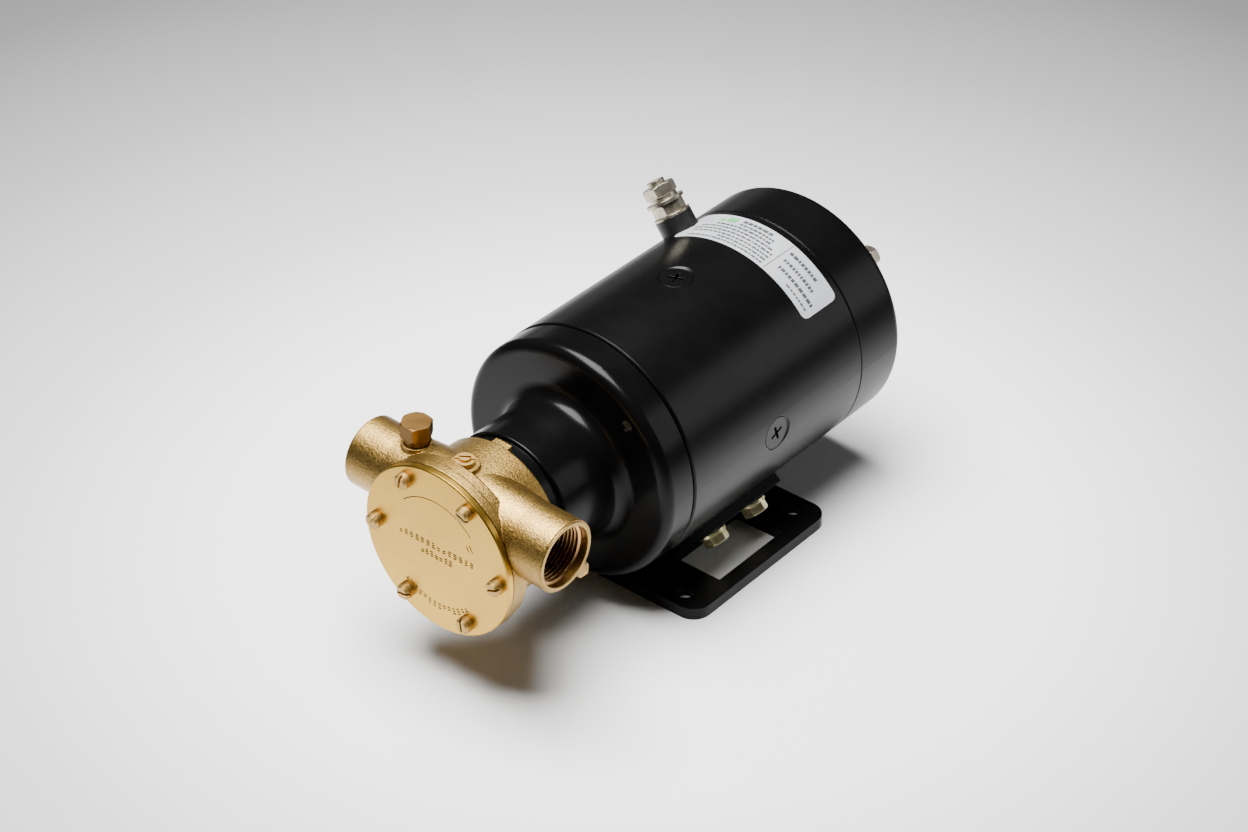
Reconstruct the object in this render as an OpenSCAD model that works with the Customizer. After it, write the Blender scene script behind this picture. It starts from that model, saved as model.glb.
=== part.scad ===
// Bilge pump: a bronze flexible-impeller pump head close-coupled to a
// permanent-duty DC motor on a flat foot plate.
// Origin: centre of the four foot-plate holes, on the underside of the plate.
// +Z is up, +Y runs along the shaft from the pump cover to the motor's rear,
// and the two ports open along -X and +X.

/* [Layout] */
// Height of the shaft above the surface the plate stands on
shaft_z = 65; // [64:0.5:70]
// Rear face of the motor, from the origin
rear_face_y = 99.5; // [98:0.5:102]
// Joint between the case and the rear cover
rear_joint_y = 70; // [69:0.5:71]
// Joint between the case and the front bell
case_front_y = -44; // [-45:0.5:-43]
// Front face of the bell
bell_face_y = -61.4; // [-62:0.1:-61]
// Front rim of the bell's neck
neck_rim_y = -95; // [-96:0.5:-93]
// Outer face of the pump's end cover
cover_face_y = -139.4; // [-141:0.2:-138]

/* [Motor case] */
// Outside radius of the case
case_r = 55; // [54:0.5:56]
// Wall of the steel case tube
case_wall = 5; // [4:0.5:5]
// Position of the pole screws along the shaft
pole_y = 10.7; // [5:0.5:15]
// Half-length of the pole shoes
pole_half = 30; // [26:1:31]
// Radius of the air-gap bore between the pole shoes
pole_bore_r = 37.3; // [37:0.1:38]

/* [Front bell and rear cover] */
// Outside radius of the bell
bell_r = 54.6; // [53:0.2:54.8]
// Rounding of the bell's front edge
bell_round = 4.6; // [3:0.2:6]
// Outside radius of the bell's neck
neck_r = 30.5; // [29.5:0.5:31]
// Fillet where the neck meets the bell's face
neck_fillet = 6.5; // [5:0.5:7]
// Bore of the neck that takes the pump's spigot
neck_bore_r = 25.5; // [25:0.1:26]
// Rounding of the rear cover's back edge
rear_round = 4; // [3:0.5:6]
// Radius of the through-bolt circle
tie_r = 46.8; // [46:0.1:47]

/* [Foot plate and cradle] */
// Width of the foot plate across the shaft
plate_w = 117; // [112:0.2:118]
// Length of the foot plate along the shaft
plate_l = 93; // [92:0.5:96]
// Thickness of the foot plate
plate_t = 5.5; // [5:0.5:6]
// Corner radius of the foot plate
plate_round = 8.5; // [8:0.5:12]
// Spacing of the plate holes across the shaft
hole_dx = 90; // [88:1:92]
// Spacing of the plate holes along the shaft
hole_dy = 75; // [74:1:76]
// Diameter of the plate holes
hole_d = 8.4; // [8:0.2:9]
// Length of the curved cradle along the shaft
cradle_l = 51; // [48:1:54]
// Angle of the cradle bolts below the horizontal
cradle_bolt_a = 48; // [46:1:50]
// Distance of the cradle bolts from the middle of the cradle
cradle_bolt_y = 13.5; // [12:0.5:15]

/* [Pump head] */
// Radius of the cover and of the body's front flange
cover_r = 38.2; // [37.5:0.1:39]
// Angle the head stands at, turned clockwise as seen from the front
head_a = 1.9; // [0:0.1:4]
// Thickness of the cover
cover_t = 2.8; // [2.4:0.2:3]
// Circle of the six cover screws
cover_screw_r = 32.1; // [31.8:0.1:32.5]
// Radius of the impeller chamber
chamber_r = 28.6; // [28:0.1:28.6]
// Height of the port axis above the shaft
port_up = 14.4; // [14:0.2:15]
// Distance of the port axis from the origin, along the shaft
port_y = -121.6; // [-123:0.2:-121]
// Distance from the shaft to each port face
port_reach = 52; // [51:0.5:54]
// Outside radius of the port tubes
port_r = 15.45; // [15:0.05:16]
// Radius of the port thread at its roots, for a 3/4 inch pipe thread
port_thread_r = 13.22; // [13.2:0.02:13.3]
// Length of each port thread
port_thread_l = 16; // [14:1:18]
// Radius of the port passage behind the thread
port_bore_r = 11.6; // [11:0.2:12]

/* [Shaft and impeller] */
// Shaft radius through the pump
pump_shaft_r = 6; // [5.5:0.5:6]
// Shaft radius at the front bearing
front_journal_r = 8.5; // [8:0.5:9]
// Shaft radius at the rear bearing
rear_journal_r = 7.5; // [7:0.5:8]
// Radius of the impeller over its vane tips
impeller_r = 28.2; // [27.6:0.1:28.2]
// Number of impeller vanes
vane_n = 6; // [6:1:6]
// Radius of the commutator
commutator_r = 17; // [16:0.5:17.5]

/* [Terminal] */
// Angle of the terminal around the case, from +X
terminal_a = 127; // [122:1:132]
// Position of the terminal along the shaft
terminal_y = 54.9; // [53:0.1:56]
// Radius of the terminal's insulator
terminal_r = 8.5; // [8:0.1:9]

/* [Hidden] */

$fn = 96;
e = 0.02;                       // fit clearance between parts that seat in each other
slide = 0.05;                   // running clearance on a radius
case_in = case_r - case_wall;
cradle_t = shaft_z - plate_t - case_r;
cradle_out = case_r + cradle_t;
cover_in_y = cover_face_y + cover_t;
gasket_t = 0.5;
flange_y = cover_in_y + gasket_t;         // front face of the pump body
flange_cut_y = -132.4;                    // rear edge of the machined part of the flange
flange_end_y = -126.6;
drum_r = 33;
body_end_y = -102;                        // rear face of the casting, before its spigot
nose_r = 28.6;                            // black nose of the bell's neck, ahead of its rim
nose_y = body_end_y + 0.4;
boss_top = 34.4;                          // height of the cam screw's boss above the shaft
cam_screw_y = -122.2;
bond_top = port_r + 3.6;                  // seat of the bonding screw, from the port axis
lock_screw_y = -90;
tab_w = 8.4;                              // locating tab on the rear of the casting
tab_end_y = -98.9;
chamber_end_y = -109.4;
wear_t = 1.2;
seal_y = -102.2;
spigot_end_y = -84;
bearing_y = [-58, 85];                    // front face of each bearing
bearing_w = [12, 11];
bearing_out = [20, 17.5];
bearing_in = [front_journal_r, rear_journal_r];
ball_r = [3.2, 2.9];
pitch_r = [14.25, 12.5];
ball_n = 8;
brush_y = 67;
brush_w = 9;
brush_out_r = 30;
stack = [7.2, 1.0, 5.2, 1.5, 1.9, 5.0];   // terminal pieces, from the case outwards

black = [0.05, 0.05, 0.055];
bronze = [0.72, 0.56, 0.32];
brass = [0.80, 0.66, 0.38];
steel = [0.62, 0.62, 0.63];
zinc = [0.72, 0.70, 0.55];
copper = [0.72, 0.42, 0.24];
carbon = [0.16, 0.16, 0.17];
rubber = [0.09, 0.09, 0.09];

function ring_points(n, r) = [for (i = [0:n - 1]) [r * cos(360 * i / n), r * sin(360 * i / n)]];

// Turns the pump head about the shaft by the angle it stands at.
module clocked() translate([0, 0, shaft_z]) rotate([0, head_a, 0]) translate([0, 0, -shaft_z]) children();

// Turns a [radius, y] outline about the shaft axis.
module turned() translate([0, 0, shaft_z]) rotate([-90, 0, 0]) rotate_extrude() children();

// A round bar along the shaft direction between two y positions.
module bar(r, y0, y1, x = 0, z = 0, n = 96)
    translate([x, y0, shaft_z + z]) rotate([-90, 0, 0]) cylinder(r = r, h = y1 - y0, $fn = n);

// A tube along the shaft direction.
module sleeve(r_out, r_in, y0, y1) turned() translate([r_in, y0]) square([r_out - r_in, y1 - y0]);

// Stands children on the case at an angle around the shaft, with +Z pointing outwards.
module radial(a, r, y) translate([r * cos(a), y, shaft_z + r * sin(a)]) rotate([0, 90 - a, 0]) children();

// Hexagon prism with chamfered corners, across flats af.
module hexagon(af, h) intersection() {
    cylinder(d = af / cos(30), h = h, $fn = 6);
    rotate_extrude() polygon([[0, 0], [af * 0.53, 0], [af * 0.58, af * 0.045],
        [af * 0.58, h - af * 0.06], [af * 0.51, h], [0, h]]);
}

// A wedge of a circle, from angle a0 to a1 around the shaft, between two radii.
module arc_block(r0, r1, a0, a1, y0, y1)
    translate([0, y1, shaft_z]) rotate([90, 0, 0]) rotate([0, 0, a0])
        rotate_extrude(angle = a1 - a0) translate([r0, 0]) square([r1 - r0, y1 - y0]);

// ---- foot plate and cradle ----

module base_plate() color(black) difference() {
    linear_extrude(plate_t) union() {
        square([plate_w - 2 * plate_round, plate_l], center = true);
        square([plate_w, plate_l - 2 * plate_round], center = true);
        for (sx = [-1, 1], sy = [-1, 1])
            translate([sx * (plate_w / 2 - plate_round), sy * (plate_l / 2 - plate_round)])
                circle(plate_round);
    }
    for (sx = [-1, 1], sy = [-1, 1])
        translate([sx * hole_dx / 2, sy * hole_dy / 2, -1]) cylinder(d = hole_d, h = plate_t + 2);
    for (sx = [-1, 1])
        translate([sx * 38.7, 0, plate_t / 2]) cube([25.2, 44, plate_t + 2], center = true);
}

module cradle() color(black) difference() {
    arc_block(case_r + e, cradle_out, -142, -38, -cradle_l / 2, cradle_l / 2);
    for (a = [-cradle_bolt_a, -180 + cradle_bolt_a], s = [-1, 1])
        radial(a, case_r - 1, s * cradle_bolt_y) cylinder(r = 3.3, h = cradle_t + 2);
}

module weld_fillets() color(black)
    for (s = [-1, 1]) difference() {
        translate([s > 0 ? 13 : -20, -cradle_l / 2 + 1, plate_t]) cube([7, cradle_l - 2, 3.4]);
        bar(cradle_out + e, -cradle_l, cradle_l);
    }

module cradle_bolts() color(zinc)
    for (a = [-cradle_bolt_a, -180 + cradle_bolt_a], s = [-1, 1])
        radial(a, 0, s * cradle_bolt_y) {
            translate([0, 0, case_in + 0.6]) cylinder(r = 2.98, h = cradle_out + 1.4 - case_in);
            translate([0, 0, cradle_out + 1.6]) hexagon(10, 4.2);
        }

module cradle_washers() color(zinc)
    for (a = [-cradle_bolt_a, -180 + cradle_bolt_a], s = [-1, 1])
        radial(a, cradle_out + 0.4, s * cradle_bolt_y) difference() {
            cylinder(r = 6.4, h = 1.2);
            translate([0, 0, -1]) cylinder(r = 3.2, h = 4);
        }

// ---- motor shell ----

module motor_case() color(black) difference() {
    turned() polygon([[case_in, case_front_y], [case_r - 0.6, case_front_y], [case_r, case_front_y + 0.6],
        [case_r, rear_joint_y - 0.3], [case_r - 0.3, rear_joint_y], [case_in, rear_joint_y]]);
    for (a = [0:90:270]) {
        radial(a, case_in - 1, pole_y) cylinder(r = 4.1, h = case_wall + 2);
        radial(a, case_r - 2.95, pole_y) cylinder(r1 = 4.1, r2 = 9.45, h = 3.55);
    }
    for (a = [-cradle_bolt_a, -180 + cradle_bolt_a], s = [-1, 1])
        radial(a, case_in - 1, s * cradle_bolt_y) cylinder(r = 3, h = case_wall + 2);
    radial(terminal_a, case_in - 1, terminal_y) cylinder(r = 5.5, h = case_wall + 2);
}

// Solid outline of the bell: rounded shoulder, flat face and filleted neck.
module bell_outline() {
    shoulder_y = bell_face_y + bell_round;
    difference() {
        union() {
            translate([0, bell_face_y]) square([bell_r - bell_round, case_front_y - bell_face_y]);
            translate([0, shoulder_y]) square([bell_r, case_front_y - 1.2 - shoulder_y]);
            translate([0, case_front_y - 1.5]) square([bell_r - 1.2, 1.5]);
            translate([bell_r - bell_round, shoulder_y]) circle(bell_round);
            translate([0, bell_face_y - neck_fillet]) square([neck_r + neck_fillet, neck_fillet + 1]);
            translate([0, neck_rim_y + 0.8]) square([neck_r, bell_face_y - neck_rim_y]);
            translate([0, neck_rim_y]) square([neck_r - 0.8, 2]);
            translate([neck_r - 0.8, neck_rim_y + 0.8]) circle(0.8);
            translate([0, nose_y]) square([nose_r, neck_rim_y - nose_y + 1]);
            translate([40, case_front_y - 0.5]) square([case_in - e - 40, 5]);
        }
        translate([neck_r + neck_fillet, bell_face_y - neck_fillet]) circle(neck_fillet);
    }
}

module front_bell() color(black) difference() {
    turned() difference() {
        bell_outline();
        // neck bore, shaft hole and bearing seat
        translate([0, nose_y - 1]) square([neck_bore_r + e, -66.5 - nose_y + 1]);
        translate([0, -70]) square([11.5, 15]);
        translate([0, bearing_y[0]]) square([bearing_out[0] + e, 30]);
        // hollow rear of the dome, around the bearing hub
        translate([26, bell_face_y + 5]) square([case_in - 5 - 26, 30]);
        translate([0, bearing_y[0] + 18]) square([case_in - 5, 30]);
        // circlip groove
        translate([bearing_out[0] - 1, bearing_y[0] + bearing_w[0] + 0.1]) square([2.2, 1.4]);
    }
    for (a = [45, 225])
        bar(2.52, bell_face_y - 2, case_front_y + 6, tie_r * cos(a), tie_r * sin(a));
    // leak drain under the neck
    translate([0, -80, shaft_z - neck_r - 1]) cylinder(r = 3, h = 8);
    // slot for the locating tab, and the hole of the lock screw
    clocked() {
        translate([-tab_w / 2 - 0.1, nose_y - 1, shaft_z + neck_bore_r - 2])
            cube([tab_w + 0.2, tab_end_y + 0.2 - nose_y + 1, 8]);
        radial(-90, neck_bore_r - 2, lock_screw_y) cylinder(r = 2.52, h = 10);
    }
}

module rear_cover() color(black) difference() {
    turned() difference() {
        union() {
            translate([0, rear_joint_y + 0.3]) square([case_r - 0.3, 1]);
            translate([0, rear_joint_y + 0.6])
                square([case_r, rear_face_y - rear_joint_y - 0.6 - rear_round]);
            translate([0, rear_joint_y + 1]) square([case_r - rear_round, rear_face_y - rear_joint_y - 1]);
            translate([case_r - rear_round, rear_face_y - rear_round]) circle(rear_round);
            translate([0, rear_joint_y - 4]) square([case_in - e, 6]);
        }
        translate([0, rear_joint_y - 5]) square([case_in - 4, 22]);
        translate([23, rear_joint_y]) square([case_in - 4 - 23, 24]);
        translate([0, 60]) square([bearing_out[1] + e, bearing_y[1] + bearing_w[1] - 60]);
    }
    for (a = [45, 225])
        bar(2.6, rear_joint_y - 6, rear_face_y + 2, tie_r * cos(a), tie_r * sin(a));
}

// Four shoes, each an arc facing the armature and a post against the case.
module pole_shoes() color(steel) for (a = [0:90:270]) difference() {
    union() {
        arc_block(pole_bore_r, 41, a - 31, a + 31, pole_y - pole_half, pole_y + pole_half);
        intersection() {
            radial(a, 40, pole_y) translate([-13, -pole_half, 0]) cube([26, 2 * pole_half, 12]);
            bar(case_in - e, pole_y - pole_half, pole_y + pole_half);
        }
    }
    radial(a, 39.5, pole_y) cylinder(r = 4.02, h = 14);
}

module field_coils() color(copper) for (a = [0:90:270])
    radial(a, 41.6, pole_y) linear_extrude(3.6) difference() {
        square([39, 2 * pole_half + 12], center = true);
        square([27, 2 * pole_half + 1], center = true);
    }

// Countersunk cross-recess screws that hold the pole shoes.
module pole_screws() color(black) for (a = [0:90:270])
    radial(a, case_r, pole_y) difference() {
        union() {
            translate([0, 0, -2.9]) cylinder(r1 = 4, r2 = 7.45, h = 2.3);
            translate([0, 0, -15.2]) cylinder(r = 3.98, h = 12.4);
        }
        for (q = [0, 90]) rotate([0, 0, q + 20]) translate([-3.6, -0.65, -2.3]) cube([7.2, 1.3, 3]);
    }

module through_bolts() color(steel) for (a = [45, 225]) {
    x = tie_r * cos(a);
    z = tie_r * sin(a);
    bar(2.48, bell_face_y + 0.9, rear_face_y + 0.5, x, z);
    translate([x, rear_face_y, shaft_z + z]) rotate([-90, 0, 0]) {
        cylinder(r = 5.2, h = 1);
        translate([0, 0, 1]) hexagon(9, 4.6);
    }
}

// ---- bearings: i is 0 for the front one and 1 for the rear one ----

module bearing_outer_ring(i) color(steel) turned() difference() {
    translate([pitch_r[i] + ball_r[i] * 0.82, bearing_y[i]])
        square([bearing_out[i] - pitch_r[i] - ball_r[i] * 0.82, bearing_w[i]]);
    translate([pitch_r[i], bearing_y[i] + bearing_w[i] / 2]) circle(ball_r[i] + 0.08);
}

module bearing_inner_ring(i) color(steel) turned() difference() {
    translate([bearing_in[i] + e, bearing_y[i]])
        square([pitch_r[i] - ball_r[i] * 0.82 - bearing_in[i] - e, bearing_w[i]]);
    translate([pitch_r[i], bearing_y[i] + bearing_w[i] / 2]) circle(ball_r[i] + 0.08);
}

module bearing_balls(i) color(steel)
    for (p = ring_points(ball_n, pitch_r[i]))
        translate([p[0], bearing_y[i] + bearing_w[i] / 2, shaft_z + p[1]]) sphere(ball_r[i], $fn = 48);

module bearing_cage(i) color(brass) difference() {
    sleeve(pitch_r[i] + 1.1, pitch_r[i] - 1.1, bearing_y[i] + 1.6, bearing_y[i] + bearing_w[i] - 1.6);
    for (k = [0:ball_n - 1])
        radial(k * 360 / ball_n, pitch_r[i] - 3, bearing_y[i] + bearing_w[i] / 2)
            cylinder(r = ball_r[i] + 0.12, h = 6);
}

module front_bearing_outer() bearing_outer_ring(0);
module front_bearing_inner() bearing_inner_ring(0);
module front_bearing_balls() bearing_balls(0);
module front_bearing_cage() bearing_cage(0);
module rear_bearing_outer() bearing_outer_ring(1);
module rear_bearing_inner() bearing_inner_ring(1);
module rear_bearing_balls() bearing_balls(1);
module rear_bearing_cage() bearing_cage(1);

module bearing_circlip() color(steel) {
    y0 = bearing_y[0] + bearing_w[0] + 0.2;
    arc_block(18.6, bearing_out[0] + 1, -60, 240, y0, y0 + 1.2);
}

// ---- armature ----

module shaft() color(steel) difference() {
    turned() polygon([[0, flange_y + 1.4], [pump_shaft_r - 0.6, flange_y + 1.4],
        [pump_shaft_r, flange_y + 2], [pump_shaft_r, -66], [front_journal_r, -64],
        [front_journal_r, -40], [10, -39], [10, 80],
        [rear_journal_r, 81], [rear_journal_r, 95.2], [rear_journal_r - 0.6, 95.8], [0, 95.8]]);
    translate([-1.55, flange_y, shaft_z + pump_shaft_r - 1.6]) cube([3.1, 24, 4]);
}

module armature_core() color(steel) difference() {
    sleeve(36.5, 10 + e, pole_y - pole_half - 1, pole_y + pole_half + 1);
    for (a = [0:20:340])
        radial(a, 30.5, pole_y) translate([-1.1, -pole_half - 2, 0]) cube([2.2, 2 * pole_half + 4, 8]);
}

// End turns of the winding, either side of the core.
module armature_windings() color(copper) turned() {
    translate([12, pole_y - pole_half - 13]) square([20, 12 - 0.05]);
    translate([22, pole_y + pole_half + 1.05]) square([10, 9]);
}

module commutator() color(copper) difference() {
    sleeve(commutator_r, 10 + e, 53, 79);
    for (a = [0:15:345])
        radial(a, commutator_r - 1.2, 66.5) translate([-0.3, -11, 0]) cube([0.6, 22, 3]);
}

module brush_plate() color(carbon) difference() {
    sleeve(case_in - 4.2, 21, 75, 77.5);
    for (a = [45, 225]) bar(3.2, 70, 80, tie_r * cos(a), tie_r * sin(a));
}

// Four open boxes that guide the brushes, fixed to the brush plate.
module brush_boxes() color(brass) for (a = [45:90:315])
    radial(a, 20.5, brush_y) difference() {
        translate([-6, -6, 0]) cube([12, 14, 14.5]);
        translate([-brush_w / 2 - slide, -brush_w / 2 - slide, -1])
            cube([brush_w + 2 * slide, brush_w + 2 * slide, 20]);
    }

module brush(a) color(carbon) intersection() {
    radial(a, 0, brush_y) translate([-brush_w / 2, -brush_w / 2, 15])
        cube([brush_w, brush_w, brush_out_r - 15]);
    sleeve(60, commutator_r + slide, brush_y - 10, brush_y + 10);
}

// Flat coil spring above each brush, drawn as its outer sleeve of turns.
module brush_spring(a) color(steel) radial(a, brush_out_r + 0.1, brush_y)
    for (k = [0:4]) translate([0, 0, k * 2.2]) difference() {
        cylinder(r = 3.6, h = 1, $fn = 32);
        translate([0, 0, -1]) cylinder(r = 2.6, h = 3, $fn = 32);
    }

module brush_1() brush(45);
module brush_2() brush(135);
module brush_3() brush(225);
module brush_4() brush(315);
module brush_spring_1() brush_spring(45);
module brush_spring_2() brush_spring(135);
module brush_spring_3() brush_spring(225);
module brush_spring_4() brush_spring(315);

// ---- terminal, built outwards from the case ----

module terminal_at(h) radial(terminal_a, case_r + h, terminal_y) children();

module terminal_insulator() color(carbon) difference() {
    union() {
        intersection() {
            terminal_at(-3) cylinder(r = terminal_r, h = stack[0] + 3);
            difference() {
                terminal_at(-3) cylinder(r = terminal_r + 1, h = stack[0] + 3);
                bar(case_r + e, 30, 80);
            }
        }
        terminal_at(-case_wall - 2) cylinder(r = 5.4, h = case_wall + 4);
    }
    terminal_at(-10) cylinder(r = 4.02, h = 30);
}

module terminal_stud() color(steel) {
    terminal_at(-case_wall - 3) cylinder(r = 3.98, h = case_wall + 3 + 24);
    terminal_at(-case_wall - 5.5) hexagon(12, 3.4);
}

module terminal_ring(h, r, t) terminal_at(h + 0.02) difference() {
    cylinder(r = r, h = t - 0.04);
    translate([0, 0, -1]) cylinder(r = 4.05, h = t + 2);
}

module terminal_nut(h, af, t) terminal_at(h + 0.02) difference() {
    hexagon(af, t - 0.04);
    translate([0, 0, -1]) cylinder(r = 4.05, h = t + 2);
}

module terminal_thin_washer() color(steel) terminal_ring(stack[0], terminal_r, stack[1]);
module terminal_lower_nut() color(steel) terminal_nut(stack[0] + stack[1], 13, stack[2]);
module terminal_wide_washer() color(steel) terminal_ring(stack[0] + stack[1] + stack[2], 8.6, stack[3]);
module terminal_spring_washer() color(steel)
    terminal_ring(stack[0] + stack[1] + stack[2] + stack[3], 6.4, stack[4]);
module terminal_upper_nut() color(steel)
    terminal_nut(stack[0] + stack[1] + stack[2] + stack[3] + stack[4], 13, stack[5]);

// Thin wrap-round plate with no marks of its own.
module rating_label() color([0.8, 0.8, 0.8]) difference() {
    arc_block(case_r + 0.01, case_r + 0.2, 38.7, 121, 43.3, 66.2);
    terminal_at(-2) cylinder(r = terminal_r + 0.3, h = 9);
}

// ---- pump head ----

// Stands children under the +X port, with +Z pointing down and to the rear.
module beside_port() translate([47.6, port_y, shaft_z + port_up]) rotate([-140, 0, 0]) children();

// Solid outside of the casting.
module body_casting() {
    turned() polygon([[0, flange_y], [cover_r, flange_y], [cover_r, flange_cut_y],
        [cover_r - 0.6, flange_cut_y + 0.5], [cover_r - 0.6, flange_end_y - 1],
        [cover_r - 1.4, flange_end_y], [drum_r + 0.8, flange_end_y],
        [drum_r, flange_end_y + 1.2], [drum_r - 0.8, body_end_y - 0.6], [drum_r - 1.4, body_end_y],
        [neck_bore_r, body_end_y], [neck_bore_r, spigot_end_y], [0, spigot_end_y]]);
    translate([0, port_y, shaft_z + port_up]) rotate([0, 90, 0]) for (s = [0, 180]) rotate([0, s, 0]) {
        cylinder(r = port_r, h = port_reach - 0.6);
        cylinder(r = port_r - 0.6, h = port_reach);
        cylinder(r1 = port_r + 2.6, r2 = port_r, h = 34);
    }
    // boss of the cam screw and seats of the plug and bonding screw
    translate([0, cam_screw_y, shaft_z]) cylinder(r = 6.2, h = boss_top);
    translate([-26.3, port_y, shaft_z + port_up]) cylinder(r = 6.4, h = port_r + 1.8);
    beside_port() cylinder(r = 4.2, h = bond_top);
    // locating tab that enters the slot in the bell's nose
    intersection() {
        bar(drum_r - 1.2, body_end_y - 2, tab_end_y);
        translate([-tab_w / 2, body_end_y - 1, shaft_z + neck_bore_r - 1]) cube([tab_w, 6, 12]);
    }
}

module pump_body() color(bronze) clocked() difference() {
    body_casting();
    bar(cover_r + 0.5, cover_face_y - 9, flange_y);
    turned() union() {
        translate([0, flange_y - 1]) square([chamber_r, chamber_end_y + wear_t - flange_y + 1]);
        translate([0, chamber_end_y]) square([7, 30]);
        translate([0, seal_y]) square([14 + e, 8]);
        translate([0, seal_y + 7.9]) square([20, 30]);
    }
    translate([0, port_y, shaft_z + port_up]) rotate([0, 90, 0]) {
        cylinder(r = port_bore_r, h = 2 * port_reach + 2, center = true);
        for (s = [-1, 1]) translate([0, 0, s * (port_reach - port_thread_l / 2 + 0.5)])
            cylinder(r = port_thread_r, h = port_thread_l + 1, center = true);
    }
    for (k = [0:5]) bar(2.02, flange_y - 1, flange_y + 9,
        cover_screw_r * cos(60 * k), cover_screw_r * sin(60 * k));
    translate([0, cam_screw_y, shaft_z + 20]) cylinder(r = 2.52, h = 30);
    translate([-26.3, port_y, shaft_z + port_up]) cylinder(r = 5.02, h = 30);
    beside_port() translate([0, 0, port_thread_r + 0.6]) cylinder(r = 2.52, h = 20);
    radial(-90, 22.4, lock_screw_y) cylinder(r = 2.52, h = 8);
}

module end_cover() color(brass) clocked() difference() {
    turned() polygon([[0, cover_face_y], [cover_r - 0.5, cover_face_y], [cover_r, cover_face_y + 0.5],
        [cover_r, cover_in_y], [0, cover_in_y]]);
    for (k = [0:5]) bar(2.2, cover_face_y - 1, cover_in_y + 1,
        cover_screw_r * cos(60 * k), cover_screw_r * sin(60 * k));
}

module cover_gasket() color(carbon) clocked() difference() {
    sleeve(cover_r - 0.9, chamber_r + 0.4, cover_in_y, flange_y);
    for (k = [0:5]) bar(2.2, cover_in_y - 1, flange_y + 1,
        cover_screw_r * cos(60 * k), cover_screw_r * sin(60 * k));
}

// Cheese-head slotted screws; every slot stands at its own angle.
module cover_screws() color(brass) clocked() for (k = [0:5]) {
    slot_a = [25, -20, 80, 55, 10, 100][k];
    translate([cover_screw_r * cos(60 * k), cover_face_y, shaft_z + cover_screw_r * sin(60 * k)])
        rotate([90, 0, 0]) difference() {
            union() {
                translate([0, 0, 0.01]) cylinder(r = 3.5, h = 2.8);
                translate([0, 0, 2.5]) cylinder(r1 = 3.5, r2 = 2.6, h = 1.2);
                translate([0, 0, -9.4]) cylinder(r = 2, h = 10);
            }
            rotate([0, 0, slot_a]) translate([-5, -0.5, 2]) cube([10, 1, 3]);
        }
}

module impeller_hub() color(rubber) difference() {
    sleeve(13, pump_shaft_r + e, flange_y + 0.4, chamber_end_y - 0.3);
    translate([-1.6, flange_y - 1, shaft_z]) cube([3.2, 40, pump_shaft_r + 1.6]);
}

// Flexible vanes with rounded tips.
module impeller_vanes() color(rubber) for (k = [0:vane_n - 1])
    translate([0, chamber_end_y - 0.3, shaft_z]) rotate([90, 0, 0]) rotate([0, 0, k * 360 / vane_n])
        linear_extrude(chamber_end_y - flange_y - 0.7) union() {
            translate([13.02, -1.4]) square([impeller_r - 15, 2.8]);
            translate([impeller_r - 2.1, 0]) circle(2.1);
        }

module drive_key() color(steel)
    translate([-1.5, flange_y + 2, shaft_z + pump_shaft_r - 1.5]) cube([3, 21, 3]);

// Crescent that presses the vanes down between the two ports.
module cam() color(bronze) clocked() difference() {
    intersection() {
        bar(chamber_r - e, flange_y + 0.1, chamber_end_y - 0.1);
        bar(17.7, flange_y, chamber_end_y, 0, 42.1);
    }
    translate([0, cam_screw_y, shaft_z + 20]) cylinder(r = 2.52, h = 30);
}

module cam_screw() color(brass) clocked() translate([0, cam_screw_y, shaft_z]) difference() {
    union() {
        translate([0, 0, 25.5]) cylinder(r = 2.5, h = 12);
        translate([0, 0, boss_top + 0.02]) cylinder(r = 4.2, h = 1.9);
    }
    rotate([0, 0, 35]) translate([-6, -0.55, boss_top + 0.9]) cube([12, 1.1, 3]);
}

module wear_plate() color(steel)
    sleeve(chamber_r - e, 7.2, chamber_end_y, chamber_end_y + wear_t - e);

module shaft_seal() color(rubber) turned() polygon([[pump_shaft_r + slide, seal_y + 0.5],
    [14, seal_y + 0.1], [14, seal_y + 7.6], [12.4, seal_y + 7.6], [12.4, seal_y + 2.4],
    [8.2, seal_y + 2.4], [7, seal_y + 5], [pump_shaft_r + slide, seal_y + 3]]);

module slinger() color(rubber) turned() union() {
    translate([pump_shaft_r + e, -79]) square([4, 5]);
    translate([pump_shaft_r + e, -77.4]) square([11, 1.8]);
}

module priming_plug() color(bronze) clocked() translate([-26.3, port_y, shaft_z + port_up]) {
    translate([0, 0, port_bore_r - 0.2]) cylinder(r = 5, h = port_r + 2.2 - port_bore_r);
    translate([0, 0, port_r + 1.82]) cylinder(r = 5.2, h = 3.4);
    translate([0, 0, port_r + 5]) hexagon(12, 6.6);
}

// Screw for the boat's bonding wire, in a blind hole beside the port.
module bonding_screw() color(brass) clocked() beside_port() {
    translate([0, 0, port_thread_r + 0.7]) cylinder(r = 2.5, h = 5.6);
    translate([0, 0, bond_top + 0.02]) hexagon(6.5, 3.4);
}

// Grub screw that locks the head's spigot in the bell's neck.
module neck_screw() color(brass) clocked() radial(-90, 22.6, lock_screw_y) difference() {
    cylinder(r = 2.5, h = 7);
    translate([-3, -0.4, 6]) cube([6, 0.8, 2]);
}

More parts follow.
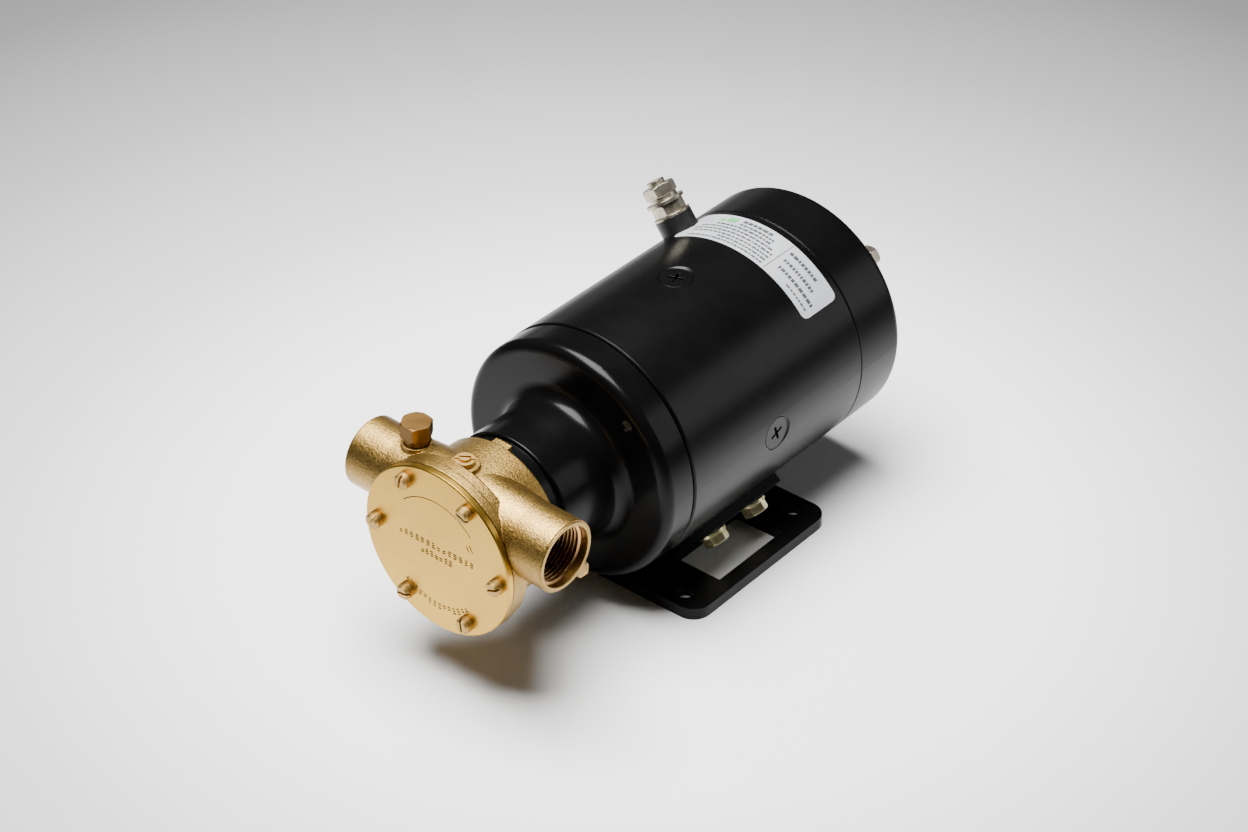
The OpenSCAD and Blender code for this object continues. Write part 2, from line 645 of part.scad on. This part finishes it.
base_plate();
cradle();
weld_fillets();
cradle_bolts();
cradle_washers();
motor_case();
front_bell();
rear_cover();
pole_shoes();
field_coils();
pole_screws();
through_bolts();
front_bearing_outer();
front_bearing_inner();
front_bearing_balls();
front_bearing_cage();
rear_bearing_outer();
rear_bearing_inner();
rear_bearing_balls();
rear_bearing_cage();
bearing_circlip();
shaft();
armature_core();
armature_windings();
commutator();
brush_plate();
brush_boxes();
brush_1();
brush_2();
brush_3();
brush_4();
brush_spring_1();
brush_spring_2();
brush_spring_3();
brush_spring_4();
terminal_insulator();
terminal_stud();
terminal_thin_washer();
terminal_lower_nut();
terminal_wide_washer();
terminal_spring_washer();
terminal_upper_nut();
rating_label();
pump_body();
end_cover();
cover_gasket();
cover_screws();
impeller_hub();
impeller_vanes();
drive_key();
cam();
cam_screw();
wear_plate();
shaft_seal();
slinger();
priming_plug();
bonding_screw();
neck_screw();
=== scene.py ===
"""Looks for the bilge pump: materials, small pressed, printed and cut details, stage, lights and camera."""
import math
import random

import bmesh
import bpy
from mathutils import Matrix, Vector


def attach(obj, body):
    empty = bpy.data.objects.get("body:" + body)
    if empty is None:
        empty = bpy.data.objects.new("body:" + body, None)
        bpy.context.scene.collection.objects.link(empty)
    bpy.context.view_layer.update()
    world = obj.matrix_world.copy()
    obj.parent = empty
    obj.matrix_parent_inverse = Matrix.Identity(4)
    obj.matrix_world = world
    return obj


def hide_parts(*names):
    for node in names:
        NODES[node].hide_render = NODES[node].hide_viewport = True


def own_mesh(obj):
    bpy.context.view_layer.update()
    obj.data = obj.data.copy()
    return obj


MM = 0.001

# Sizes that the CAD model fixes, in metres
SHAFT_Z = 65 * MM
CASE_R = 55 * MM
COVER_FACE_Y = -139.4 * MM
PORT_Y, PORT_UP = -121.6 * MM, 14.4 * MM
HEAD_TURN = math.radians(1.9)
PORT_REACH, THREAD_R = 52 * MM, 13.22 * MM
TERMINAL_ANGLE, TERMINAL_Y, TERMINAL_R = 127, 54.9 * MM, 8.5 * MM
BRUSH_ANGLES = (45, 135, 225, 315)
BRUSH_OUT_R, BRUSH_Y, BRUSH_TRAVEL = 30 * MM, 67 * MM, 5 * MM

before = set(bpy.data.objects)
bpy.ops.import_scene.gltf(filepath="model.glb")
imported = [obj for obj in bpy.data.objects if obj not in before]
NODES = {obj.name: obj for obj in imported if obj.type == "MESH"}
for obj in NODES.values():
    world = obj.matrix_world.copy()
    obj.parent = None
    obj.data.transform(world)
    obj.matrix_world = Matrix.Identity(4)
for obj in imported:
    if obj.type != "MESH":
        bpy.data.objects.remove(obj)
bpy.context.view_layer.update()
ROOT = "frame"


# ---------------------------------------------------------------- materials

class Mat:
    """A node material, built a few nodes at a time round one Principled shader."""

    def __init__(self, name, **sockets):
        self.material = bpy.data.materials.new(name)
        self.material.use_nodes = True
        self.tree = self.material.node_tree
        self.shader = self.tree.nodes["Principled BSDF"]
        self.coords = self.node("ShaderNodeTexCoord").outputs["Object"]
        self.normal = None
        for socket, value in sockets.items():
            self.shader.inputs[socket.replace("_", " ")].default_value = value

    def node(self, kind, **settings):
        made = self.tree.nodes.new(kind)
        for key, value in settings.items():
            setattr(made, key, value)
        return made

    def link(self, a, b):
        self.tree.links.new(a, b)

    def noise(self, scale, detail=4.0, roughness=0.55, stretch=None):
        """Noise value over the surface; scale is in cycles per metre."""
        tex = self.node("ShaderNodeTexNoise")
        tex.inputs["Scale"].default_value = scale
        tex.inputs["Detail"].default_value = detail
        tex.inputs["Roughness"].default_value = roughness
        self.link(self.stretched(stretch), tex.inputs["Vector"])
        return tex.outputs["Fac"]

    def stretched(self, stretch):
        if not stretch:
            return self.coords
        mapping = self.node("ShaderNodeMapping")
        mapping.inputs["Scale"].default_value = stretch
        self.link(self.coords, mapping.inputs["Vector"])
        return mapping.outputs["Vector"]

    def ramp(self, value, stops):
        """Colour ramp with (position, colour) stops."""
        ramp = self.node("ShaderNodeValToRGB")
        points = ramp.color_ramp.elements
        while len(points) < len(stops):
            points.new(0.5)
        for point, (position, colour) in zip(points, stops):
            point.position = position
            point.color = (*colour, 1)
        self.link(value, ramp.inputs["Fac"])
        return ramp.outputs["Color"]

    def spread(self, value, low, high):
        """Maps 0.25..0.75 of a noise to low..high."""
        made = self.node("ShaderNodeMapRange")
        made.inputs["From Min"].default_value = 0.25
        made.inputs["From Max"].default_value = 0.75
        made.inputs["To Min"].default_value = low
        made.inputs["To Max"].default_value = high
        self.link(value, made.inputs["Value"])
        return made.outputs["Result"]

    def mix(self, a, b, factor, blend="MIX"):
        made = self.node("ShaderNodeMix", data_type="RGBA", blend_type=blend)
        self.feed(made.inputs["Factor"], factor)
        self.feed(made.inputs[6], a)
        self.feed(made.inputs[7], b)
        return made.outputs[2]

    def feed(self, socket, value):
        if isinstance(value, bpy.types.NodeSocket):
            self.link(value, socket)
        elif hasattr(value, "__len__"):
            socket.default_value = (*value, 1)
        else:
            socket.default_value = value

    def colour(self, value):
        self.feed(self.shader.inputs["Base Color"], value)

    def roughness(self, value):
        self.feed(self.shader.inputs["Roughness"], value)

    def bump(self, value, depth, strength=1.0):
        """Adds relief; depth is in metres."""
        made = self.node("ShaderNodeBump")
        made.inputs["Distance"].default_value = depth
        made.inputs["Strength"].default_value = strength
        self.link(value, made.inputs["Height"])
        if self.normal:
            self.link(self.normal, made.inputs["Normal"])
        self.normal = made.outputs["Normal"]
        self.link(self.normal, self.shader.inputs["Normal"])

    def soft_edges(self, radius):
        """Rounds the shading of hard edges, so they catch the light."""
        made = self.node("ShaderNodeBevel", samples=6)
        made.inputs["Radius"].default_value = radius
        self.normal = made.outputs["Normal"]
        self.link(self.normal, self.shader.inputs["Normal"])


def black_paint(name, dark, light, rough, bumps, edge, gloss=0.15):
    """Black finish: two nearly equal blacks, a roughness spread and (scale, depth) relief."""
    mat = Mat(name, Metallic=0.0, IOR=1.5, Specular_IOR_Level=gloss)
    mat.soft_edges(edge)
    mat.colour(mat.ramp(mat.noise(55, 5), [(0.3, (dark, dark, dark * 1.04)),
                                           (0.7, (light, light, light * 1.03))]))
    mat.roughness(mat.spread(mat.noise(140, 5, 0.6), *rough))
    for scale, depth in bumps:
        mat.bump(mat.noise(scale, 3), depth, 0.3)
    return mat.material


def cast_bronze():
    mat = Mat("cast_bronze", Metallic=1.0)
    mat.soft_edges(0.7 * MM)
    patina = mat.ramp(mat.noise(38, 6, 0.6), [(0.3, (0.29, 0.17, 0.042)), (0.52, (0.38, 0.24, 0.065)),
                                              (0.75, (0.46, 0.30, 0.095))])
    grain = mat.ramp(mat.noise(1500, 3, 0.6), [(0.35, (0.62, 0.58, 0.52)), (0.6, (1, 1, 1))])
    mat.colour(mat.mix(patina, grain, 1.0, "MULTIPLY"))
    mat.roughness(mat.spread(mat.noise(700, 4, 0.7), 0.30, 0.46))
    mat.bump(mat.noise(120, 4), 0.25 * MM, 0.25)
    mat.bump(mat.noise(980, 4, 0.65), 0.24 * MM, 0.9)
    return mat.material


def machined_brass(name, tint, low, high, lines=(1, 60, 1), scale=220, edge=0.25 * MM):
    mat = Mat(name, Metallic=1.0)
    mat.soft_edges(edge)
    stain = mat.ramp(mat.noise(45, 5, 0.6), [(0.3, tuple(c * 0.86 for c in tint)), (0.7, tint)])
    fine = mat.ramp(mat.noise(scale, 5, 0.6, lines), [(0.3, (0.93, 0.93, 0.92)), (0.7, (1, 1, 1))])
    mat.colour(mat.mix(stain, fine, 1.0, "MULTIPLY"))
    mat.roughness(mat.spread(mat.noise(90, 4, 0.6), low, high))
    mat.bump(mat.noise(scale, 4, 0.6, lines), 0.006 * MM, 0.5)
    return mat.material


def plated(name, dark, light, low=0.18, high=0.34, scale=500):
    """Plated or bare metal with a mottled finish."""
    mat = Mat(name, Metallic=1.0)
    mat.soft_edges(0.2 * MM)
    mat.colour(mat.ramp(mat.noise(260, 5, 0.6), [(0.35, dark), (0.65, light)]))
    mat.roughness(mat.spread(mat.noise(scale, 5, 0.7), low, high))
    mat.bump(mat.noise(scale * 4, 3), 0.012 * MM, 0.4)
    return mat.material


def rubbery(name, dark, light, roughness=0.6, gloss=0.5):
    mat = Mat(name, Metallic=0.0, Specular_IOR_Level=gloss)
    mat.colour(mat.ramp(mat.noise(180, 5), [(0.3, dark), (0.7, light)]))
    mat.roughness(mat.spread(mat.noise(500, 4), roughness - 0.08, roughness + 0.08))
    mat.bump(mat.noise(2200, 3), 0.02 * MM, 0.5)
    return mat.material


def label_foil():
    mat = Mat("label_foil", Metallic=0.15, Coat_Weight=0.3, Coat_Roughness=0.25)
    mat.colour(mat.ramp(mat.noise(90, 4), [(0.3, (0.36, 0.37, 0.39)), (0.7, (0.42, 0.43, 0.44))]))
    mat.roughness(mat.spread(mat.noise(600, 4), 0.34, 0.46))
    mat.bump(mat.noise(500, 2), 0.01 * MM, 0.2)
    return mat.material


MATERIALS = {
    "enamel": black_paint("black_enamel", 0.0012, 0.0020, (0.27, 0.31),
                          ((900, 0.006 * MM), (3800, 0.006 * MM)), 0.35 * MM),
    "bell": black_paint("black_casting", 0.0012, 0.0024, (0.20, 0.25),
                        ((240, 0.008 * MM), (2400, 0.008 * MM)), 0.5 * MM, 0.1),
    "plate": black_paint("black_plate", 0.0016, 0.0032, (0.32, 0.42), ((1500, 0.03 * MM), (400, 0.03 * MM)),
                         0.5 * MM),
    "bronze": cast_bronze(),
    "cover": machined_brass("cover_brass", (0.56, 0.33, 0.05), 0.26, 0.36),
    "screw": machined_brass("screw_brass", (0.46, 0.285, 0.085), 0.40, 0.50, (1, 1, 1), 400, 0.1 * MM),
    "thread": machined_brass("cut_bronze", (0.60, 0.34, 0.14), 0.24, 0.36, (30, 1, 1), 500),
    "plug": machined_brass("plug_bronze", (0.18, 0.098, 0.03), 0.36, 0.50, (1, 1, 1), 500),
    "stamp": rubbery("stamped_recess", (0.05, 0.027, 0.010), (0.10, 0.055, 0.02), 0.5),
    "zinc": plated("yellow_zinc", (0.62, 0.55, 0.28), (0.82, 0.76, 0.48), 0.26, 0.4),
    "nickel": plated("dull_nickel", (0.32, 0.285, 0.22), (0.48, 0.445, 0.36), 0.28, 0.42),
    "steel": plated("ground_steel", (0.38, 0.38, 0.39), (0.56, 0.56, 0.57), 0.2, 0.34),
    "core": plated("core_steel", (0.10, 0.10, 0.11), (0.20, 0.20, 0.21), 0.4, 0.6, 900),
    "copper": plated("copper", (0.50, 0.20, 0.09), (0.72, 0.34, 0.18), 0.3, 0.45),
    "carbon": rubbery("carbon", (0.02, 0.02, 0.02), (0.05, 0.05, 0.05), 0.5),
    "moulding": rubbery("black_moulding", (0.004, 0.004, 0.004), (0.009, 0.009, 0.009), 0.42, 0.25),
    "rubber": rubbery("nitrile", (0.010, 0.010, 0.010), (0.024, 0.024, 0.024), 0.6),
    "gasket": rubbery("gasket_paper", (0.05, 0.035, 0.02), (0.09, 0.07, 0.04), 0.75),
    "foil": label_foil(),
    "ink": rubbery("label_ink", (0.03, 0.03, 0.035), (0.06, 0.06, 0.065), 0.5),
    "green_ink": rubbery("green_ink", (0.06, 0.22, 0.07), (0.10, 0.32, 0.12), 0.5),
}

NODE_MATERIALS = {
    "enamel": ["motor_case", "rear_cover", "pole_screws"],
    "bell": ["front_bell"],
    "plate": ["base_plate", "cradle", "weld_fillets"],
    "bronze": ["pump_body", "cam"],
    "cover": ["end_cover"],
    "screw": ["cover_screws", "cam_screw", "bonding_screw", "neck_screw", "brush_boxes",
              "front_bearing_cage", "rear_bearing_cage"],
    "plug": ["priming_plug"],
    "zinc": ["cradle_bolts", "cradle_washers"],
    "nickel": ["terminal_stud", "terminal_thin_washer", "terminal_lower_nut", "terminal_wide_washer",
               "terminal_spring_washer", "terminal_upper_nut", "through_bolts"],
    "steel": ["shaft", "drive_key", "front_bearing_outer", "front_bearing_inner", "front_bearing_balls",
              "rear_bearing_outer", "rear_bearing_inner", "rear_bearing_balls", "bearing_circlip",
              "wear_plate", "pole_shoes", "brush_spring_1", "brush_spring_2", "brush_spring_3",
              "brush_spring_4"],
    "core": ["armature_core"],
    "copper": ["armature_windings", "commutator", "field_coils"],
    "carbon": ["brush_1", "brush_2", "brush_3", "brush_4"],
    "moulding": ["brush_plate", "terminal_insulator"],
    "rubber": ["impeller_hub", "impeller_vanes", "shaft_seal", "slinger"],
    "gasket": ["cover_gasket"],
    "foil": ["rating_label"],
}


def dress(obj, material, angle=32):
    """Gives an object one material and smooth shading that breaks at real edges."""
    obj.data.materials.clear()
    obj.data.materials.append(material)
    for face in obj.data.polygons:
        face.use_smooth = True
    obj.data.set_sharp_from_angle(angle=math.radians(angle))


for key, names in NODE_MATERIALS.items():
    for name in names:
        dress(NODES[name], MATERIALS[key])


# ---------------------------------------------------------------- pieces

def piece(name, verts, faces, material, body=ROOT):
    mesh = bpy.data.meshes.new(name)
    mesh.from_pydata(verts, [], faces)
    mesh.validate()
    obj = bpy.data.objects.new(name, mesh)
    bpy.context.collection.objects.link(obj)
    dress(obj, MATERIALS[material])
    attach(obj, body)
    return obj


def on_head(x, y, z):
    """A point of the pump head, z above the shaft, turned to the angle the head stands at."""
    return (x * math.cos(HEAD_TURN) + z * math.sin(HEAD_TURN), y,
            SHAFT_Z - x * math.sin(HEAD_TURN) + z * math.cos(HEAD_TURN))


def on_case(angle, y, lift):
    """A point on the case at an angle round the shaft, in degrees from +X."""
    a = math.radians(angle)
    r = CASE_R + lift
    return (r * math.cos(a), y, SHAFT_Z + r * math.sin(a))


class Patches:
    """Collects thin raised patches wrapped on the case, to be made as one piece."""

    def __init__(self, lift, thickness):
        self.verts, self.faces = [], []
        self.lift, self.thickness = lift, thickness

    def strip(self, outline):
        """outline is a list of (angle, y_low, y_high) stations; makes one closed curved slab."""
        base = len(self.verts)
        for angle, y0, y1 in outline:
            for lift in (self.lift, self.lift + self.thickness):
                self.verts += [on_case(angle, y0, lift), on_case(angle, y1, lift)]
        n = len(outline)
        for i in range(n - 1):
            a, b = base + 4 * i, base + 4 * (i + 1)
            self.faces += [(a + 2, b + 2, b + 3, a + 3), (a, a + 1, b + 1, b), (a, b, b + 2, a + 2),
                           (a + 1, a + 3, b + 3, b + 1)]
        end = base + 4 * (n - 1)
        self.faces += [(base, base + 2, base + 3, base + 1), (end, end + 1, end + 3, end + 2)]

    def bar(self, a0, a1, y0, y1):
        steps = max(2, int(abs(a1 - a0) / 1.2) + 1)
        self.strip([(a0 + (a1 - a0) * i / (steps - 1), y0, y1) for i in range(steps)])

    def build(self, name, material):
        return piece(name, self.verts, self.faces, material)


LABEL_ANGLES = (38.7, 121.0)
LABEL_Y = (43.3 * MM, 66.2 * MM)
LABEL_CORNER = 3.0 * MM
# Rows of print: place along the shaft in mm, first and last angle, height in mm
BODY_ROWS = ((45.6, 71, 113, 1.2), (48.0, 71, 99, 1.2), (50.4, 71, 114, 1.2), (52.9, 71, 115, 1.3),
             (55.4, 73, 114, 1.3), (57.9, 76, 106, 1.3), (60.4, 76, 96, 1.5), (63.2, 79, 96, 1.9))
END_ROWS = ((50.8, 42, 66, 1.9), (55.8, 47, 66, 1.9), (61.2, 50, 67, 1.9), (46.6, 42, 57, 1.0))
PRINT_LIFT = 0.2 * MM


def rating_label():
    """Foil label with rounded corners and a notch round the terminal's insulator."""
    degree = CASE_R * math.pi / 180
    a0, a1 = LABEL_ANGLES
    y0, y1 = LABEL_Y
    label = Patches(0.02 * MM, 0.16 * MM)
    stations = []
    notch = TERMINAL_R + 0.3 * MM
    count = 160
    upper, lower = [], []
    for i in range(count + 1):
        angle = a0 + (a1 - a0) * i / count
        inset = 0.0
        for edge in (a0, a1):
            gap = abs(angle - edge) * degree
            if gap < LABEL_CORNER:
                inset = LABEL_CORNER - math.sqrt(LABEL_CORNER ** 2 - (LABEL_CORNER - gap) ** 2)
        off = (TERMINAL_ANGLE - angle) * degree
        if abs(off) < notch:
            half = math.sqrt(notch ** 2 - off ** 2)
            lower.append((angle, y0 + inset, TERMINAL_Y - half))
            upper.append((angle, TERMINAL_Y + half, y1 - inset))
        else:
            stations.append((angle, y0 + inset, y1 - inset))
    label.strip(stations)
    last = stations[-1]
    for part in (lower, upper):
        join = (last[0], part[0][1] if part is upper else last[1], last[2] if part is upper else part[0][2])
        label.strip([join] + part)
    obj = label.build("label_sheet", "foil")
    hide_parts("rating_label")


def label_print():
    """Stand-in for print: rows of short plain bars, a divider and two green blocks. No letters."""
    rng = random.Random(7)
    ink = Patches(PRINT_LIFT, 0.012 * MM)
    ink.bar(68.6, 69.0, LABEL_Y[0] + 0.6 * MM, LABEL_Y[1] - 0.6 * MM)

    def row(a0, a1, y, height, word, gap):
        angle = a0
        while angle < a1 - 0.8:
            length = min(rng.uniform(*word), a1 - angle)
            ink.bar(angle, angle + length, y - height / 2, y + height / 2)
            angle += length + gap

    for y, a0, a1, h in BODY_ROWS:
        row(a0, a1, y * MM, h * MM, (0.9, 3.0), 0.45)
    for y, a0, a1, h in END_ROWS:
        row(a0, a1, y * MM, h * MM, (1.0, 2.6), 0.55)
    ink.build("label_print", "ink")
    green = Patches(PRINT_LIFT, 0.014 * MM)
    green.bar(98, 103, 60.2 * MM, 64.2 * MM)
    green.bar(104, 107, 60.2 * MM, 62.4 * MM)
    green.build("label_mark", "green_ink")


def port_thread(name, side):
    """Internal pipe thread: one helical ridge inside the port."""
    pitch, turns, steps = 1.814 * MM, 8, 64
    depth = 1.1 * MM
    verts, faces = [], []
    mouth = PORT_REACH - 1.6 * MM
    profile = [(0.10, 0.0), (0.42, depth), (0.58, depth), (0.90, 0.0)]
    rings = turns * steps
    for i in range(rings + 1):
        turn = i / steps
        a = 2 * math.pi * turn
        fade = min(1.0, i / (steps * 0.4), (rings - i) / (steps * 0.4))
        for along, height in profile:
            r = THREAD_R + 0.03 * MM - (height + 0.03 * MM) * fade
            x = mouth - (turn + along) * pitch
            verts.append(on_head(side * x, PORT_Y + r * math.cos(a), PORT_UP + r * math.sin(a)))
    for i in range(rings):
        for k in range(4):
            a, b = 4 * i + k, 4 * i + (k + 1) % 4
            faces.append((a, b, b + 4, a + 4))
    faces += [(0, 1, 2, 3), tuple(4 * rings + k for k in (3, 2, 1, 0))]
    return piece(name, verts, faces, "thread")


SPRING_LENGTH = 9.8 * MM
SPRING_R, WIRE_R = 3.1 * MM, 0.42 * MM


def brush_spring(number, angle):
    """Coil spring that presses one brush inwards, made at one fixed length."""
    turns, steps, sides = 5, 40, 10
    a = math.radians(angle)
    out = Vector((math.cos(a), 0, math.sin(a)))
    across = Vector((-math.sin(a), 0, math.cos(a)))
    along = Vector((0, 1, 0))
    foot = Vector((0, BRUSH_Y, SHAFT_Z)) + out * (BRUSH_OUT_R + 0.15 * MM + WIRE_R)
    rings = turns * steps
    verts, faces = [], []
    for i in range(rings + 1):
        turn = 2 * math.pi * i / steps
        spoke = across * math.cos(turn) + along * math.sin(turn)
        centre = foot + spoke * SPRING_R + out * ((SPRING_LENGTH - 2 * WIRE_R) * i / rings)
        for k in range(sides):
            t = 2 * math.pi * k / sides
            verts.append(centre + (spoke * math.cos(t) + out * math.sin(t)) * WIRE_R)
    for i in range(rings):
        for k in range(sides):
            p, q = sides * i + k, sides * i + (k + 1) % sides
            faces.append((p, q, q + sides, p + sides))
    faces += [tuple(range(sides - 1, -1, -1)), tuple(range(sides * rings, sides * rings + sides))]
    obj = piece(f"brush_coil_{number}", verts, faces, "steel")
    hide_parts(f"brush_spring_{number}")
    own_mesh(obj)


def engraving_cutter():
    """Shallow grooves cut in the cover: three arcs and rows of plain dashes."""
    verts, faces = [], []
    depth = 0.3 * MM
    y_out, y_in = COVER_FACE_Y - 0.5 * MM, COVER_FACE_Y + depth

    def prism(outline):
        base, n = len(verts), len(outline)
        for y in (y_out, y_in):
            verts.extend((x, y, z + SHAFT_Z) for x, z in outline)
        faces.append(tuple(range(base + n - 1, base - 1, -1)))
        faces.append(tuple(range(base + n, base + 2 * n)))
        for i in range(n):
            j = (i + 1) % n
            faces.append((base + i, base + j, base + n + j, base + n + i))

    def arc(radius, width, a0, a1, steps):
        inner, outer = [], []
        for i in range(steps + 1):
            a = math.radians(a0 + (a1 - a0) * i / steps)
            inner.append(((radius - width / 2) * math.cos(a), (radius - width / 2) * math.sin(a)))
            outer.append(((radius + width / 2) * math.cos(a), (radius + width / 2) * math.sin(a)))
        prism(outer + inner[::-1])

    def dash(x, z, length, height, lean):
        a = math.radians(lean)
        along, up = (math.cos(a), math.sin(a)), (-math.sin(a), math.cos(a))
        prism([(x + along[0] * s * length / 2 + up[0] * t * height / 2,
                z + along[1] * s * length / 2 + up[1] * t * height / 2)
               for s, t in ((-1, -1), (1, -1), (1, 1), (-1, 1))])

    arc(24.6 * MM, 0.4 * MM, 40, 132, 40)
    rng = random.Random(3)
    for z, count, step in ((2.4, 14, 2.9), (-2.2, 7, 2.5)):
        for i in range(count):
            x = (i - (count - 1) / 2) * step * MM
            low = z - 1.1
            for part in range(rng.choice((2, 3, 3))):
                dash(x + rng.uniform(-0.2, 0.2) * MM, (low + 1.05 * part) * MM, rng.uniform(1.2, 1.9) * MM,
                     0.6 * MM, rng.choice((0, 0, 8, -8)))
    for i in range(14):
        a = -128 + i * 5.6
        for r in (26.0, 27.1, 28.2)[: rng.choice((2, 3, 3))]:
            dash(r * MM * math.cos(math.radians(a)), r * MM * math.sin(math.radians(a)),
                 rng.uniform(1.0, 1.7) * MM, 0.55 * MM, a + 90)
    arc(21.5 * MM, 0.5 * MM, 24, 34, 8)
    arc(19.6 * MM, 0.5 * MM, 26, 33, 8)
    mesh = bpy.data.meshes.new("engraving")
    mesh.from_pydata(verts, [], faces)
    obj = bpy.data.objects.new("engraving", mesh)
    bpy.context.collection.objects.link(obj)
    bm = bmesh.new()
    bm.from_mesh(mesh)
    bmesh.ops.recalc_face_normals(bm, faces=bm.faces)
    bm.to_mesh(mesh)
    bm.free()
    mesh.materials.append(MATERIALS["stamp"])
    obj.hide_render = True
    obj.hide_viewport = True
    return obj


rating_label()
label_print()
for side, name in ((-1, "port_thread_left"), (1, "port_thread_right")):
    port_thread(name, side)
for number, angle in enumerate(BRUSH_ANGLES, 1):
    brush_spring(number, angle)

cut = NODES["end_cover"].modifiers.new("engraving", "BOOLEAN")
cut.operation = "DIFFERENCE"
cut.solver = "EXACT"
cut.object = engraving_cutter()
cut.material_mode = "TRANSFER"
split = NODES["end_cover"].modifiers.new("groove_edges", "EDGE_SPLIT")
split.split_angle = math.radians(20)


# ---------------------------------------------------------------- stage, lights, camera

def floor():
    """A wide flat sheet whose colour holds painted light falloff: pale near the pump and darker far away,
    as if beyond the reach of the light.
    """
    size = 5.0
    mesh = bpy.data.meshes.new("floor")
    corners = [(-size, -size, 0), (size, -size, 0), (size, size, 0), (-size, size, 0)]
    mesh.from_pydata(corners, [], [(0, 1, 2, 3)])
    obj = bpy.data.objects.new("floor", mesh)
    bpy.context.collection.objects.link(obj)
    mat = Mat("floor_paper", Roughness=0.8, Specular_IOR_Level=0.2)
    reach = 2.5
    near = mat.node("ShaderNodeTexGradient", gradient_type="SPHERICAL")
    mat.link(mat.stretched((1 / reach, 1 / reach, 1 / reach)), near.inputs["Vector"])
    # painted light falloff: the floor's colour is pale near the pump and darker with distance, standing in
    # for the light's reach
    painted_falloff_tones = ((0.0, 0.10), (0.70, 0.10), (0.77, 0.15), (0.83, 0.28), (0.885, 0.48), (0.93, 0.80))
    shade = mat.ramp(near.outputs["Fac"], [(place, (tone, tone, tone * 0.995)) for place, tone in painted_falloff_tones])
    grain = mat.ramp(mat.noise(2.5, 3), [(0.3, (0.985, 0.985, 0.985)), (0.7, (1, 1, 1))])
    mat.colour(mat.mix(shade, grain, 1.0, "MULTIPLY"))
    dress(obj, mat.material, 60)


def area_light(name, place, target, size, power, colour=(1, 1, 1)):
    light = bpy.data.lights.new(name, "AREA")
    light.shape = "RECTANGLE"
    light.size, light.size_y = size
    light.energy = power
    light.color = colour
    obj = bpy.data.objects.new(name, light)
    obj.location = place
    obj.rotation_euler = (Vector(target) - Vector(place)).to_track_quat("-Z", "Y").to_euler()
    bpy.context.collection.objects.link(obj)
    return obj


CAMERA_PLACE = (0.65543, -0.81465, 0.79083)
CAMERA_AZIMUTH, CAMERA_ELEVATION = 39.63, 35.14
LENS, SENSOR = 86.62, 36.0


def camera():
    az, el = math.radians(CAMERA_AZIMUTH), math.radians(CAMERA_ELEVATION)
    back = Vector((math.sin(az) * math.cos(el), -math.cos(az) * math.cos(el), math.sin(el)))
    right = Vector((math.cos(az), math.sin(az), 0))
    turn = Matrix((right, back.cross(right), back)).transposed()
    data = bpy.data.cameras.new("camera")
    data.lens, data.sensor_width = LENS, SENSOR
    data.clip_end = 50
    obj = bpy.data.objects.new("camera", data)
    obj.matrix_world = Matrix.Translation(CAMERA_PLACE) @ turn.to_4x4()
    bpy.context.collection.objects.link(obj)
    bpy.context.scene.camera = obj


def seen_from_camera(right, up, towards):
    """A place given in the camera's own directions, in metres from the middle of the pump."""
    az = math.radians(CAMERA_AZIMUTH)
    flat_back = Vector((math.sin(az), -math.cos(az), 0))
    side = Vector((math.cos(az), math.sin(az), 0))
    return Vector((0, 0, 0.06)) + side * right + Vector((0, 0, up)) + flat_back * towards


floor()
camera()
area_light("top_softbox", seen_from_camera(-0.17, 1.0, 0.0), (0, 0, 0.0), (0.78, 0.7), 62)
area_light("right_strip", seen_from_camera(1.5, 0.5, -0.1), (0, 0, 0.05), (0.6, 0.8), 3.5)
area_light("back_card", (-1.2, 1.0, 0.2), (0, 0, 0.1), (0.9, 0.3), 0.4)
world = bpy.data.worlds.new("room")
bpy.context.scene.world = world
world.use_nodes = True
world.node_tree.nodes["Background"].inputs["Color"].default_value = (1, 1, 1, 1)
world.node_tree.nodes["Background"].inputs["Strength"].default_value = 0.03
